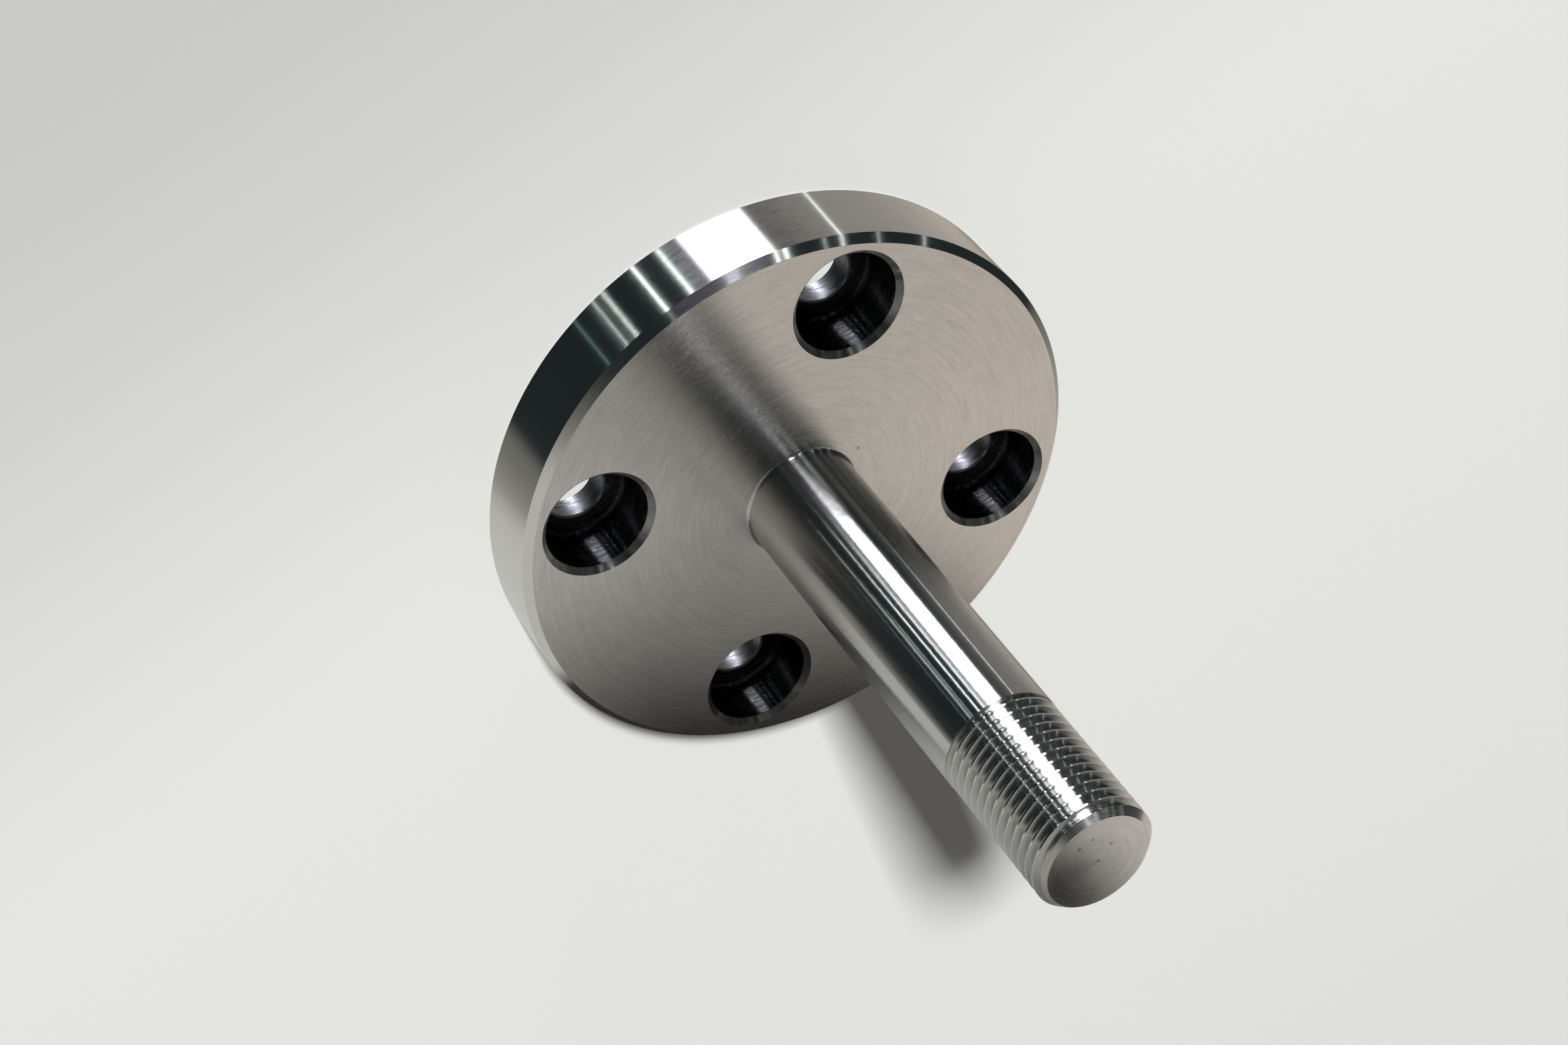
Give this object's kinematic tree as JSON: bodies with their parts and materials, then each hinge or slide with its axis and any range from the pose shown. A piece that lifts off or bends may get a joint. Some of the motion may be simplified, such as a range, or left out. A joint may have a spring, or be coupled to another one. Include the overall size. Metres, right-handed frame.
{
  "type": "flanged shaft with threaded end",
  "caption": "Turned steel flange with counterbored screw holes and a smooth shaft that ends in a chamfered thread.",
  "frame": {"origin": "centre of the flange's back face, which the part stands on", "axes": "+Z along the shaft, from the flange towards the threaded tip; two of the screw holes lie on X and two on Y"},
  "size_m": [0.1, 0.1, 0.11],
  "materials": {
    "turned_steel": "fine turned, bright"
  },
  "bodies": {
    "root": {"flanged_shaft": "turned_steel"}
  },
  "joints": []
}
